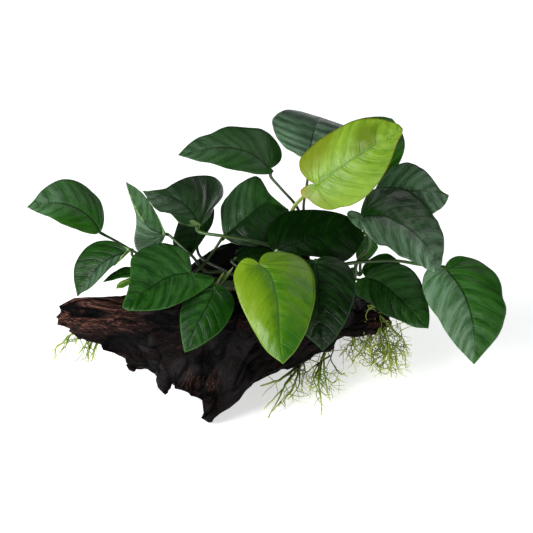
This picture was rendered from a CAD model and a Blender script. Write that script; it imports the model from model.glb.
"""The looks of a leafy water plant that has rooted along a piece of driftwood.

Every surface is built here in mesh code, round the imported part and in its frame: X to the right,
Y away from the viewer, Z up. Shapes are worked out in millimetres and then turned into metres.
"""

import itertools
import math

import bpy
import numpy as np
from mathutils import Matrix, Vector


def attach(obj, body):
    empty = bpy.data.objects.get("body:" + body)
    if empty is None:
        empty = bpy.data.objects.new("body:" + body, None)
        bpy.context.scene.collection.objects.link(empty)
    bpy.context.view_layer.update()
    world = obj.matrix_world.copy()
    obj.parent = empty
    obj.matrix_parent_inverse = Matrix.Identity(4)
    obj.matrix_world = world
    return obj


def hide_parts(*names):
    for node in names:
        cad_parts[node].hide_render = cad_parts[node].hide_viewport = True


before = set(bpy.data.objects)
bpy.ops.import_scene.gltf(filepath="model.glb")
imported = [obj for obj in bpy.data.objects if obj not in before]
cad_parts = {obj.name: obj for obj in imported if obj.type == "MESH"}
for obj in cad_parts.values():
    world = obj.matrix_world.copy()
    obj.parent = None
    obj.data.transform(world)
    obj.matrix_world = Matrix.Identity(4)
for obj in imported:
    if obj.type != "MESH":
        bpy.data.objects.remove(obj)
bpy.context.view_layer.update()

# Driving dimensions, in millimetres
SEEN_WIDTH = 383.0
BLADE_THICKNESS = 0.7
RHIZOME_RADIUS = 4.5
STALK_RADIUS = 1.5
STALK_END_RADIUS = 1.1
METRES = 0.001

# The sheet of squares that the front view was measured on
SHEET_SQUARES = 533
WIDTH_SQUARES = 479
SQUARE = SEEN_WIDTH / WIDTH_SQUARES
VIEW_RISE = math.radians(25)
VIEW_DISTANCE = 1600.0
AIM_HEIGHT = 114.0

# Where the row's origin lies among these places
CENTRE = np.array([0.6, 18.5, 0.0])

SIGHT = np.array([0.0, math.cos(VIEW_RISE), -math.sin(VIEW_RISE)])
UPWARD = np.array([0.0, math.sin(VIEW_RISE), math.cos(VIEW_RISE)])
RIGHTWARD = np.array([1.0, 0.0, 0.0])
UPRIGHT = np.array([0.0, 0.0, 1.0])
AIM = np.array([0.0, 0.0, AIM_HEIGHT])
EYE = AIM - VIEW_DISTANCE * SIGHT

# A blade's rows run along its side veins: how the veins lean and start, and the share in the lobes
VEIN_LEAN = 0.32
VEIN_START = 0.3
LOBE_ROWS = 0.3
BLADE_ROWS = 72
BLADE_COLUMNS = 20
PLEATS = 9

# How finely a blade's edge is read, and its least advance toward the tip
EDGE_STEPS = 601
EDGE_SLOPE = 0.0001

# The upward curl of a blade's edges in degrees, and where along it a drooping tip starts
BLADE_CURL = 20
DROOP_START = 0.7

# The relief of a blade, in millimetres
PLEAT_HEIGHT = 0.55
PLEAT_PATCH = 16.0
RIB_DEPTH = 0.4
RIB_HALF_WIDTH = 0.55
KEEL_HEIGHT = 0.9
KEEL_HALF_WIDTH = 1.5
WAVE_HEIGHT = 0.9
WAVE_SIZE = 21.0
RUMPLE_HEIGHT = 0.3
RUMPLE_SIZE = 5.5
EDGE_WAVE = 0.8
THIN_EDGE = 3.0

# How a stalk leaves the creeping stem and runs into its blade's keel
STALK_LIFT = 6.0
STALK_SUNK = 0.8
STALK_SHEATH = 7.0
STALK_BELOW = 4.0
STALK_BEFORE = 2.0
STALK_UNDER = 5.0
KEEL_DROP = 1.4

# Sides and steps of the round forms
RIB_STEPS = 101
STALK_SIDES = 12
SHOOT_STEPS = 24
RHIZOME_STEPS = 220
RHIZOME_SIDES = 20
ROOT_SIDES = 8
WOOD_SIDES = 28

# How many steps rootlets take, how thick they are, and how low they and the other roots reach
ROOTLET_STEPS = (12, 34)
ROOTLET_RADII = (0.28, 0.5)
ROOT_END_RADIUS = 0.5
ROOT_FLOOR = 0.2

# The mesh of the wood and its wear, in millimetres
WOOD_MESH = 1.0
WOOD_SKIN = 0.6
GRAIN_WARP = 2.5
GRAIN_WARP_SIZE = 30.0
CRACK_DEPTH = 3.6
CRACK_SIZE = (120, 10, 10)
LINE_DEPTH = 1.5
LINE_SIZE = (90, 5, 5)
LAYER_STEP = 1.8
LAYER_SIZE = (100, 8, 8)
SWELL_HEIGHT = 1.5
SWELL_SIZE = 17.0
LUMP_HEIGHT = 0.6
LUMP_SIZE = 6.5
PIT_DEPTH = 1.0
PIT_SIZE = 3.4
PITTED_PATCH = 18.0

# The width of a blade's coloured edge, the waxy film's colour, and the scale of the wood's marks
EDGE_LINE = 0.6
FILM_COLOUR = (0.13, 0.21, 0.14)
GRAIN_STRETCH = (0.014, 0.5, 0.5)

# How strongly each mark changes the tone of a blade's face
CLOUD_TONE = 1.2
BROAD_TONE = 0.9
STREAK_TONE = 1.3
CREST_TONE = 0.2
LINE_TONE = -0.08
GRAIN_TONE = 0.25


def unit(vector):
    return vector / np.linalg.norm(vector, axis=-1, keepdims=True)


def hashed(cells, seed):
    """Repeatable values from 0 to 1 for cells of whole numbers."""
    mixed = cells[..., 0] * 73856093 ^ cells[..., 1] * 19349663 ^ cells[..., 2] * 83492791
    mixed = mixed ^ seed * 2654435
    mixed = ((mixed ^ (mixed >> 13)) * 1274126177) & 0x7FFFFFFF
    return ((mixed ^ (mixed >> 15)) & 0xFFFF) / 65535.0


def noise(points, seed=0):
    """Smooth noise from -1 to 1 at points given in cells."""
    points = np.asarray(points, float)
    low = np.floor(points).astype(np.int64)
    part = points - low
    part = part * part * (3 - 2 * part)
    total = 0.0
    for corner in itertools.product((0, 1), repeat=3):
        weight = np.prod(np.where(np.array(corner, bool), part, 1 - part), axis=-1)
        total = total + weight * hashed(low + np.array(corner), seed)
    return 2 * total - 1


def smooth_step(value, low, high):
    part = np.clip((value - low) / (high - low), 0, 1)
    return part * part * (3 - 2 * part)


def sight_lines(sheet):
    """Directions from the eye through places of the sheet, given as column and row."""
    sheet = np.asarray(sheet, float)
    right = (sheet[..., :1] - SHEET_SQUARES / 2) * SQUARE
    up = (SHEET_SQUARES / 2 - sheet[..., 1:2]) * SQUARE
    return unit(VIEW_DISTANCE * SIGHT + right * RIGHTWARD + up * UPWARD)


def spot(column, row, back):
    """The place seen at this column and row of the sheet that lies this far back."""
    line = sight_lines((column, row))
    return EYE + (back - EYE[1]) / line[1] * line


def smooth_path(points, count):
    """Evenly stepped places on a smooth curve through the points."""
    known = np.asarray(points, float)
    last = len(known) - 1
    padded = np.vstack([2 * known[0] - known[1], known, 2 * known[-1] - known[-2]])
    steps = np.linspace(0, last, count)
    index = np.minimum(steps.astype(int), last - 1)
    part = (steps - index)[:, None]
    before, start, end, after = (padded[index + k] for k in range(4))
    return 0.5 * (
        2 * start
        + (end - before) * part
        + (2 * before - 5 * start + 4 * end - after) * part**2
        + (3 * start - before - 3 * end + after) * part**3
    )


def evenly(points, count):
    """Places at equal distances on a smooth curve through the points."""
    curve = smooth_path(points, 20 * len(points))
    run = np.concatenate([[0.0], np.cumsum(np.linalg.norm(np.diff(curve, axis=0), axis=1))])
    wanted = np.linspace(0, run[-1], count)
    return np.stack([np.interp(wanted, run, axis) for axis in curve.T], axis=1)


def closed_rings(rings):
    """Places and faces of a solid through the rings, closed at both ends."""
    count, sides = rings.shape[:2]
    faces = []
    for ring in range(count - 1):
        for side in range(sides):
            following = (side + 1) % sides
            low, high = ring * sides, (ring + 1) * sides
            faces.append((low + side, low + following, high + following, high + side))
    faces.append(tuple(range(sides - 1, -1, -1)))
    faces.append(tuple(range((count - 1) * sides, count * sides)))
    return rings.reshape(-1, 3), faces


def tube(path, radii, sides, flatness=1.0):
    """Places and faces of a closed tube along a path, with rounded ends."""
    radii = np.asarray(radii, float)
    start, end = path[0], path[-1]
    back = unit(start - path[1]) * radii[0]
    on = unit(end - path[-2]) * radii[-1]
    path = np.vstack([start + 0.9 * back, start + 0.6 * back, path, end + 0.6 * on, end + 0.9 * on])
    caps = np.array([0.35, 0.8])
    radii = np.concatenate([caps * radii[0], radii, caps[::-1] * radii[-1]])
    angles = 2 * math.pi * np.arange(sides)[:, None] / sides
    across = np.cross(path[1] - path[0], UPRIGHT)
    if np.linalg.norm(across) < 0.3 * np.linalg.norm(path[1] - path[0]):
        across = np.cross(path[1] - path[0], RIGHTWARD)
    rings = []
    for index, centre in enumerate(path):
        ahead = unit(path[min(index + 1, len(path) - 1)] - path[max(index - 1, 0)])
        across = unit(across - (across @ ahead) * ahead)
        over = np.cross(ahead, across)
        rings.append(centre + radii[index] * (np.cos(angles) * across + flatness * np.sin(angles) * over))
    return closed_rings(np.array(rings))


def several(runs):
    """Places and faces of several meshes together."""
    places, faces, start = [], [], 0
    for more_places, more_faces in runs:
        faces += [tuple(corner + start for corner in face) for face in more_faces]
        places.append(more_places)
        start += len(more_places)
    return np.concatenate(places), faces


def along_marks(along, sides, tone=0.0):
    """Marks of a tube's places: how far along it each is, and a tone."""
    share = np.concatenate([[along[0]] * 2, along, [along[-1]] * 2]).repeat(sides)
    return np.stack([share, 0 * share + tone, 0 * share], axis=-1)


def blade_frame(leaf):
    """The blade's base, length, and its directions ahead and out of its face."""
    base = spot(*leaf["rib"][0], leaf["back"][0])
    tip = spot(*leaf["rib"][-1], leaf["back"][1])
    length = np.linalg.norm(tip - base)
    ahead = (tip - base) / length
    right, up, toward = leaf["face"]
    face = right * RIGHTWARD + up * UPWARD - toward * SIGHT
    return base, length, ahead, unit(face - (face @ ahead) * ahead)


def half_sheet(leaf, side, rows, columns):
    """One half of a blade on the sheet, row by row along its side veins, from rib to edge."""
    rib = np.array(leaf["rib"], float)
    length = np.linalg.norm(rib[-1] - rib[0])
    chord = (rib[-1] - rib[0]) / length
    across = np.array([-chord[1], chord[0]])
    lean = leaf.get("lean", VEIN_LEAN)
    outline = evenly([rib[0], *leaf[side], rib[-1]], EDGE_STEPS)
    share = np.linspace(0, 1, EDGE_STEPS)
    reached = np.maximum.accumulate((outline - rib[0]) @ chord / length) + EDGE_SLOPE * share
    lobe_rows = round(LOBE_ROWS * rows)
    rise = np.concatenate([np.zeros(lobe_rows), np.linspace(0, 1, rows + 1 - lobe_rows)])
    ends = np.interp(rise + lean * (1 - rise**2), reached, share)
    ends[:lobe_rows] = ends[lobe_rows] * np.arange(lobe_rows) / lobe_rows
    ends[-1] = 1.0
    edge = np.stack([np.interp(ends, share, axis) for axis in outline.T], axis=1)
    course = evenly(rib, RIB_STEPS)
    start = np.stack([np.interp(rise, np.linspace(0, 1, RIB_STEPS), axis) for axis in course.T], axis=1)
    out = np.linspace(0, 1, columns + 1)
    reach = edge - start
    forward = (reach @ chord)[:, None] * (VEIN_START * out + (1 - VEIN_START) * out**2)
    outward = (reach @ across)[:, None] * out
    sheet = start[:, None] + forward[..., None] * chord + outward[..., None] * across
    along = np.clip((sheet - rib[0]) @ chord / length, 0, 1)
    return sheet, along, np.abs(outward) * SQUARE, rise[:, None]


def blade_places(leaf, rows, columns):
    """For each half: places, distance from the rib, and how far along the rib their row starts."""
    base, length, _, normal = blade_frame(leaf)
    arch = length * math.radians(leaf["bend"]) / 2
    curl = math.tan(math.radians(BLADE_CURL))
    out = np.linspace(0, 1, columns + 1)
    halves = []
    for half, side in enumerate(("left", "right")):
        sheet, along, width, rise = half_sheet(leaf, side, rows, columns)
        fold = math.tan(math.radians(leaf.get("fold", (10, 10))[half]))
        farther = width * (out * curl - fold) - arch * along * (1 - along)
        past = np.clip((rise - DROOP_START) / (1 - DROOP_START), 0, 1)
        farther = farther + leaf.get("droop", 0) * past**2
        lines = sight_lines(sheet)
        reach = ((base - EYE) @ normal) / (lines @ normal) + farther
        halves.append((EYE + reach[..., None] * lines, width, rise + 0 * width))
    return halves


# Every leaf as measured on the sheet
LEAVES = [
    dict(name="far_left_leaf", colour="mid", back=(38, 28), face=(0.0, 0.5, 0.85), bend=35,
         rib=[(100, 230), (92, 219), (80, 210), (65, 204), (48, 203), (27, 207)],
         left=[(97, 234), (88, 233), (74, 228.5), (61, 224), (50, 218), (38, 213)],
         right=[(103, 226), (104, 213), (100, 200), (92, 191), (84, 184), (74, 180), (62, 179.5), (52, 183),
                (41, 191), (34, 200)],
         stem=[(116, 241, 46), (135, 252, 46), (165, 268, 30)], root=0.10),
    dict(name="low_left_leaf", colour="mid", back=(6, -9), face=(-0.3, 0.3, 0.85), bend=30, fold=(45, 5),
         rib=[(129, 250), (110, 258), (99, 266), (92, 275), (83, 288), (77, 296)],
         left=[(126, 253), (116, 263), (108, 270), (100, 279), (90, 288), (83, 292)],
         right=[(124, 247), (116, 242), (106, 240), (95, 242), (85, 249), (78, 259), (74, 270), (74, 282),
                (76, 291)],
         stem=[(134, 257, 9), (160, 269, 17)], root=0.14),
    dict(name="upright_left_leaf", colour="mid", back=(30, 25), face=(-0.45, 0.1, 0.9), bend=35, fold=(5, 30),
         rib=[(164, 235), (150, 228), (139, 214), (131, 198), (126, 182)],
         left=[(163, 240), (158, 248), (147, 254), (138, 252), (134, 241), (136, 225), (135, 212),
               (129, 195)],
         right=[(163, 230), (159, 219), (152, 206), (146, 198), (140, 192), (132, 186)],
         stem=[(170, 236, 30), (180, 245, 24), (193, 257, 14), (205, 271, 8)], root=0.26),
    dict(name="top_left_leaf", colour="dark", back=(50, 38), face=(0.0, 0.55, 0.83), bend=35,
         rib=[(270, 168), (258, 158), (245, 151), (225, 147.5), (205, 149), (190, 152), (178, 155)],
         left=[(274, 171), (268, 174), (255, 173.5), (243, 171), (228, 168.5), (213, 163), (198, 161),
               (188, 158)],
         right=[(275, 166), (281, 160), (282, 152), (278, 143), (270, 134), (261, 129), (250, 127.5),
                (232, 126), (222, 128), (210, 134), (198, 138), (188, 145)],
         stem=[(271, 177, 52), (281, 188.5, 52), (298, 209, 52), (301, 232, 46)], root=0.60),
    dict(name="middle_left_leaf", colour="dark", back=(15, -5), face=(0.15, 0.6, 0.78), bend=25,
         rib=[(199, 226), (194, 215), (184, 204), (170, 197), (155, 193.5), (143, 191)],
         left=[(196, 221), (190, 220), (181, 225), (174, 218), (168, 213.5), (158, 211), (150, 203)],
         right=[(203, 224), (212, 214), (214, 208), (223, 197), (224, 187), (219, 180), (211, 175.5),
                (197, 175), (185, 178), (174, 183), (166, 188), (157, 190)],
         stem=[(203, 233, 12), (223, 236, 7), (246, 240, 6), (268, 245, 10), (282, 251, 17)], root=0.57),
    dict(name="hanging_left_leaf", colour="dark", back=(50, 45), face=(0.0, 0.2, 0.95), bend=25,
         rib=[(200, 208), (199, 225), (196, 240), (190, 257)],
         left=[(207, 203), (214, 209), (213, 222), (208, 232), (198, 247)],
         right=[(190, 206), (181, 216), (175, 232), (173, 243), (180, 252)],
         stem=[(203, 212, 58), (199, 232, 60), (197, 247, 58), (204, 260, 40)], root=0.33),
    dict(name="centre_left_leaf", colour="dark", back=(23, 42), face=(-0.15, 0.4, 0.9), bend=40,
         rib=[(225, 236), (236, 226), (247, 217), (258, 207.5), (266, 203), (277, 205), (289, 210)],
         left=[(222, 229), (220.5, 210), (223, 202), (229, 194), (236, 186), (245, 180), (255, 176),
               (261, 179), (265, 186), (270, 194), (280, 203)],
         right=[(228, 240), (240, 245), (256, 246), (272, 241), (282, 228), (288, 217)],
         stem=[(221, 240, 22), (211, 255, 15), (203, 265, 6)], root=0.06),
    dict(name="top_leaf", colour="dark", back=(40, 95), face=(0.0, 0.85, 0.5), bend=40, droop=22, lean=0.08,
         rib=[(307, 160), (311, 143), (314, 130), (317, 121), (321, 117)],
         left=[(302, 157), (294, 153), (285, 147), (277, 138), (272.5, 126), (273, 118), (280, 112),
               (288, 110), (299, 111), (310, 113), (317, 115)],
         right=[(313, 161), (326, 155), (340, 144), (351, 130), (351, 119), (343, 113), (333, 113),
                (326, 115)],
         stem=[(309, 168, 44), (306, 190, 48), (303.6, 209, 50), (307, 238, 46)], root=0.65),
    dict(name="big_pale_leaf", colour="pale", back=(0, 5), face=(0.1, 0.4, 0.9), bend=20,
         rib=[(315, 184), (332, 172), (349, 161), (368, 149), (386, 138), (403, 129)],
         left=[(308, 180), (301, 172), (299, 164), (301, 157), (309, 148.5), (320, 139), (334, 130.5),
               (350, 122), (364, 118), (378, 118), (390, 121), (400, 125)],
         right=[(307, 185), (300, 191), (303, 197), (308, 199), (315, 205), (325, 209.5), (333, 210),
                (341, 207.5), (349, 206.5), (358, 202), (367, 195), (377, 184), (386, 171), (392, 158),
                (397, 144), (402, 134)],
         stem=[(303, 197, 24), (293, 209, 47), (288, 228, 40)], root=0.54),
    dict(name="top_right_leaf", colour="mid", back=(88, 134), face=(0.1, 0.75, 0.6), bend=45,
         rib=[(372, 182), (378, 160), (382, 135), (384, 116.5)],
         left=[(364, 185), (350, 170), (345, 150), (348, 130), (358, 119), (372, 116.5)],
         right=[(380, 184), (393, 172), (401, 160), (405, 146), (403, 134), (396, 123), (391, 118)],
         stem=[(372, 200, 88), (367, 218, 78), (357, 245, 58)], root=0.82),
    dict(name="high_right_leaf", colour="dark", back=(66, 58), face=(0.1, 0.5, 0.85), bend=30,
         rib=[(375, 197), (395, 194), (412, 191), (427, 190.5), (438, 193), (449, 195)],
         left=[(376, 188), (382, 178), (390, 169), (400, 164), (408, 163), (417, 165.5), (427, 172),
               (435, 182), (441, 190)],
         right=[(378, 204), (388, 214), (402, 220), (418, 219), (432, 214), (442, 208), (447, 201)],
         stem=[(370, 204, 62), (360, 222, 52), (349, 247, 42)], root=0.86),
    dict(name="big_right_leaf", colour="dark", back=(18, -8), face=(0.3, 0.5, 0.8), bend=40,
         rib=[(361, 216), (383, 216), (400, 223), (412, 231), (424, 243), (432, 256), (436, 273)],
         left=[(361, 210), (363, 203), (367, 195), (375, 189), (386, 186.5), (398, 187), (410, 191),
               (420, 199), (430, 209), (438, 221), (443, 234), (444.5, 245), (443, 256), (441, 267)],
         right=[(357, 212), (350, 210.5), (347, 213.5), (350, 219.5), (357, 227), (366, 233), (373, 240),
                (379, 245), (387, 246), (394, 251), (399, 256), (409, 259.5), (418, 264), (428, 270)],
         stem=[(366.5, 232, 20), (369.5, 240, 20), (368, 249, 23), (361, 256.5, 28.5), (356, 265, 36),
               (354, 278, 40)], root=0.92),
    dict(name="centre_leaf", colour="dark", back=(2, 17), face=(0.0, 0.5, 0.85), bend=35, fold=(10, -10),
         rib=[(276, 250), (290, 245), (304, 241), (320, 236), (334, 230), (348, 223), (358, 219)],
         left=[(270, 248), (269, 238), (272, 222), (282, 213.5), (292, 210.5), (303, 209.5), (318, 209.5),
               (331, 211.5), (343, 215), (352, 218)],
         right=[(280, 252.5), (296, 252.5), (317, 256.5), (330, 259), (341, 262), (350, 258), (357, 251),
                (362, 243), (366, 234), (363, 226)],
         stem=[(270, 257, 6)], root=0.49),
    dict(name="bright_front_leaf", colour="bright", back=(-38, -98), face=(0.1, 0.4, 0.9), bend=30,
         rib=[(259, 265), (266, 269), (271, 277), (275, 290), (278, 308), (279.5, 330), (281, 348),
              (283, 364)],
         left=[(260, 259), (264, 254), (269, 252), (276, 251.5), (285, 252), (295, 254), (304, 259),
               (310, 266), (314, 275), (315.5, 290), (314.5, 303), (311, 317), (307, 330), (301, 342),
               (294, 353)],
         right=[(257, 262), (252, 259), (246.5, 258), (241, 261), (236, 268), (233.5, 276), (235, 287),
                (239, 300), (243, 310), (250, 324), (257, 336), (263, 346), (270, 354)],
         stem=[(259, 270, -30)], root=0.40),
    dict(name="dark_front_leaf", colour="dark", back=(-23, -65), face=(0.1, 0.4, 0.9), bend=30,
         rib=[(316, 262), (318, 280), (318.5, 300), (319, 320), (321, 337), (323, 351)],
         left=[(318, 258.5), (326, 256.5), (337, 258), (345, 262), (351, 269), (355.5, 280), (355.5, 292),
               (352, 306), (346, 321), (338, 335), (331, 343)],
         right=[(312, 259), (302, 262), (293, 275), (289, 295), (293, 315), (300, 329), (309, 338)],
         stem=[(310, 271, -12)], root=0.69),
    dict(name="right_front_leaf", colour="dark", back=(6, -20), face=(0.0, 0.5, 0.85), bend=30,
         rib=[(368, 278), (377, 281), (388, 288), (399, 298), (411, 310), (420, 320), (428.5, 328.5)],
         left=[(368, 273), (371, 269), (377, 265.5), (388, 263), (400, 264), (410, 268), (417, 275),
               (422, 284), (426, 297), (429, 308), (429.5, 319)],
         right=[(364, 277.5), (358, 280), (355, 286), (357, 295), (362, 298), (370, 302), (377, 309),
                (385, 315), (395, 319), (405, 323), (415, 327)],
         stem=[(362, 280, 12)], root=0.88),
    dict(name="far_right_leaf", colour="dark", back=(10, -25), face=(0.1, 0.5, 0.85), bend=35,
         rib=[(446, 269), (456, 281), (464, 294), (470, 310), (474, 330), (475, 348), (474, 364.5)],
         left=[(446, 264), (450, 259), (457, 256), (465, 256.5), (477, 260), (488, 267), (496, 274),
               (501, 285), (502.5, 298), (506, 308), (504.5, 320), (500, 333), (493, 343), (484, 353)],
         right=[(442, 267), (436, 265), (428, 269), (423.5, 277), (422.5, 288), (426, 300), (431, 309),
                (438, 318), (444, 329), (450, 338), (458, 348), (466, 356)],
         stem=[(438, 267, 14), (420, 264.5, 20), (398, 261, 24), (374, 261, 26), (346, 264, 27)], root=0.74),
    dict(name="big_front_left_leaf", colour="mid", back=(-22, -45), face=(-0.1, 0.6, 0.8), bend=25,
         rib=[(191, 273), (178, 274), (166, 278), (153, 286), (142, 293), (131, 301), (122, 307)],
         left=[(198, 273.5), (208, 275.5), (215, 278.5), (211, 284), (204, 289), (196, 294), (186, 299.5),
               (175, 304.5), (163, 308.5), (150, 310.5), (137, 311), (128, 310.5)],
         right=[(191.5, 267), (190.5, 260), (188, 253), (182, 248), (174, 245), (163, 243), (152, 245),
                (142, 248), (135, 253), (130.5, 260), (130.5, 272), (129, 284), (127, 293), (124, 301)],
         stem=[(196, 277, -14)], root=0.22),
    dict(name="low_front_leaf", colour="mid", back=(-30, -65), face=(0.0, 0.5, 0.85), bend=25,
         rib=[(214, 289), (211, 298), (206, 308), (200, 319), (194, 331), (189, 343), (184.5, 352.5)],
         left=[(217, 286.5), (222, 286.5), (229, 291), (233.5, 298), (234, 307), (230.5, 317), (224, 327),
               (216, 335.5), (206, 342.5), (195, 348.5)],
         right=[(214, 284), (212, 280), (208, 284), (200, 290), (191, 296), (184, 301), (180.5, 311),
                (180, 324), (181.5, 338)],
         stem=[(217, 288, -22)], root=0.30),
    dict(name="hanging_right_leaf", colour="mid", back=(39, 37), face=(0.0, 0.1, 0.95), bend=25,
         pleats=6, rows=48, columns=14, rib=[(366, 234), (367, 245), (363, 255), (359, 263)],
         left=[(370, 239), (378, 246), (375, 253), (368, 260)],
         right=[(361, 240), (356.5, 249), (356, 257)],
         stem=[(369, 240, 46), (366, 252, 50), (360.5, 263, 58), (360, 275, 66)], root=1.0),
    dict(name="leaf_behind_right", colour="mid", back=(48, 44), face=(0.0, 0.6, 0.75), bend=30,
         pleats=6, rows=48, columns=14, rib=[(362, 271), (374, 266), (388, 263), (402, 266)],
         left=[(363, 266), (368, 261), (378, 255.5), (388, 254.5), (396, 259)],
         right=[(366, 277), (378, 279), (392, 276)],
         stem=[(357, 274, 51)], root=0.96),
    dict(name="narrow_left_leaf", colour="mid", back=(1, -5), face=(0.0, 0.7, 0.7), bend=30,
         pleats=6, rows=48, columns=14, rib=[(138, 272), (125, 273.5), (114, 277), (103, 281.5)],
         left=[(130, 277), (120, 278), (110, 281)],
         right=[(134, 268), (125, 267), (116, 270.5), (108, 276)],
         stem=[(150, 276, 4)], root=0.18),
    dict(name="torn_left_leaf", colour="pale", back=(-4, -8), face=(0.0, 0.7, 0.7), bend=30,
         pleats=6, rows=48, columns=14, rib=[(134, 280), (126, 283), (116, 288)],
         left=[(130, 284), (122, 288)],
         right=[(131, 277), (123, 280.5), (118, 284)],
         stem=[(150, 283, -6)], root=0.01),
    dict(name="shaded_leaf", colour="dark", back=(22, 20), face=(0.0, 0.6, 0.75), bend=30,
         pleats=6, rows=48, columns=14, rib=[(236, 257), (248, 254), (260, 252), (272, 252)],
         left=[(235.5, 251), (241, 247), (252, 245.5), (264, 247)],
         right=[(237, 261), (244, 264), (254, 264), (264, 259)],
         stem=[(232, 262, 22)], root=0.36),
]

# A plain leaf's tone from deep to light, its pleats and rumples, and how thick and light its stalk is
PLAIN_LOOK = dict(tint=0.5, pleat=0.8, rumple=0.6, stalk=1.0, stalk_tint=0.3)

# What differs on each leaf. Film, near the base and the tip of each half, is waxy over 0, deep under 0.
LOOKS = dict(
    far_left_leaf=dict(tint=0.65, film=((0.0, 0.45), (0.1, 0.6)), pleat=1.4, rumple=0.5, stalk_tint=0.1),
    low_left_leaf=dict(skin="dark", tint=0.6, film=((0.45, 0.4), (0, 0)), pleat=0.6, rumple=0.5, stalk=0.9),
    upright_left_leaf=dict(skin="waxy", tint=0.8, film=((0.5, 0.2), (0.2, 0.1)),
                           pleat=1.3, rumple=0.8, stalk_tint=0.5),
    top_left_leaf=dict(tint=0.85, film=((0.05, 0.3), (0.05, 0.4)),
                       pleat=0.9, rumple=0.9, stalk=1.05, stalk_tint=0.2),
    middle_left_leaf=dict(skin="waxy", tint=0.6, film=((0.2, 0.6), (0.1, 0.6)),
                          pleat=1.8, rumple=0.7, stalk=1.2, stalk_tint=0.35),
    hanging_left_leaf=dict(skin="shaded", tint=0.3, pleat=0.4, rumple=0.4, stalk_tint=0.2),
    centre_left_leaf=dict(skin="waxy", tint=0.6, film=((0.2, 0.0), (-0.8, -0.6)), pleat=1.1, rumple=1.8),
    top_leaf=dict(skin="waxy", tint=0.6, film=((0.7, 0.5), (0.8, 0.8)),
                  pleat=2.4, rumple=0.4, stalk_tint=0.2),
    big_pale_leaf=dict(rumple=0.9, stalk=1.35, stalk_tint=1.7),
    top_right_leaf=dict(tint=0.7, pleat=0.6, rumple=0.5),
    high_right_leaf=dict(skin="waxy", tint=0.7, film=((0.3, 0.8), (0.4, 0.8)), pleat=2.2),
    big_right_leaf=dict(skin="waxy", film=((0, 0.6), (0.4, 1.0)),
                        pleat=1.1, rumple=2.8, stalk=1.2, stalk_tint=0.9),
    centre_leaf=dict(skin="shaded", tint=0.05, pleat=0.5, rumple=0.8, stalk_tint=0.2),
    bright_front_leaf=dict(pleat=0.55, rumple=1.0, stalk_tint=0.8),
    dark_front_leaf=dict(tint=0.1, film=((0.02, -0.4), (0.02, -0.4)), pleat=0.6, rumple=0.9),
    right_front_leaf=dict(tint=0.6, film=((0.08, 0), (0, 0)), pleat=1.1, stalk_tint=0.4),
    far_right_leaf=dict(skin="mid", film=((0.05, 0.1), (0.65, 0.6)),
                        pleat=2.1, rumple=0.5, stalk=1.2, stalk_tint=0.5),
    big_front_left_leaf=dict(tint=0.3, film=((0.06, 0), (0.1, 0.03)), rumple=0.8),
    low_front_leaf=dict(tint=0.05, film=((-0.3, -0.2), (0.05, 0)), pleat=1.1, stalk_tint=0.5),
    hanging_right_leaf=dict(stalk_tint=0.8),
    leaf_behind_right=dict(rumple=0.5, stalk_tint=0.5),
    narrow_left_leaf=dict(tint=0.3, pleat=0.5, rumple=0.5, stalk=0.9),
    torn_left_leaf=dict(skin="bright", tint=0.2, pleat=0.5, rumple=0.8, stalk=0.8, stalk_tint=0.5),
    shaded_leaf=dict(skin="shaded", tint=0.3),
)

# Stations of the main run of wood from left to right: X, Y, Z of the middle, half depth, half height
MAIN_RUN = [
    (-166, 4, 70, 4, 5),
    (-153, 7, 66, 15, 14),
    (-128, 10, 61, 20, 19),
    (-93, 8, 56, 30, 28),
    (-61, 4, 47, 42, 42),
    (-28, 10, 50, 42, 40),
    (5, 20, 50, 37, 36),
    (35, 35, 50, 32, 32),
    (56, 57, 46, 27, 28),
    (68, 82, 38, 23, 24),
    (80, 104, 19, 17, 23),
    (90, 115, 15, 9, 12),
]

# The other limbs: X, Y, Z and radius, or half depth and half height, of each station
FRONT_TOE = [(-40, 5, 45, 29), (-38, -22, 30, 26), (-43, -42, 14, 15), (-47, -51, 3, 7)]
REAR_FOOT = [(-100, 22, 50, 16), (-105, 38, 25, 12), (-107, 47, -3, 6)]
BACK_LIMB = [(-70, 46, 66, 9, 13), (-56, 50, 74, 13, 20), (-44, 55, 77, 19, 25), (-24, 64, 82, 23, 24),
             (10, 70, 86, 22, 22), (36, 72, 86, 12, 12)]

# The creeping stem along the top of the wood, and the ringed joints on it
RHIZOME = [(-67, -2, 90), (-44, 2, 94), (-12, 9, 94), (15, 21, 91), (38, 36, 86), (68, 66, 74)]
RHIZOME_RINGS = 12

# Young rolled leaves: the places each runs through, and its radii from base to tip
SHOOTS = [
    ([(217, 288, -5), (226, 277, -6), (233, 267.5, -8)], (1.0, 2.2, 1.8, 0.6)),
    ([(217, 288, -5), (219, 281, -8), (224, 272.5, -10)], (1.0, 1.8, 1.5, 0.5)),
]

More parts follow.
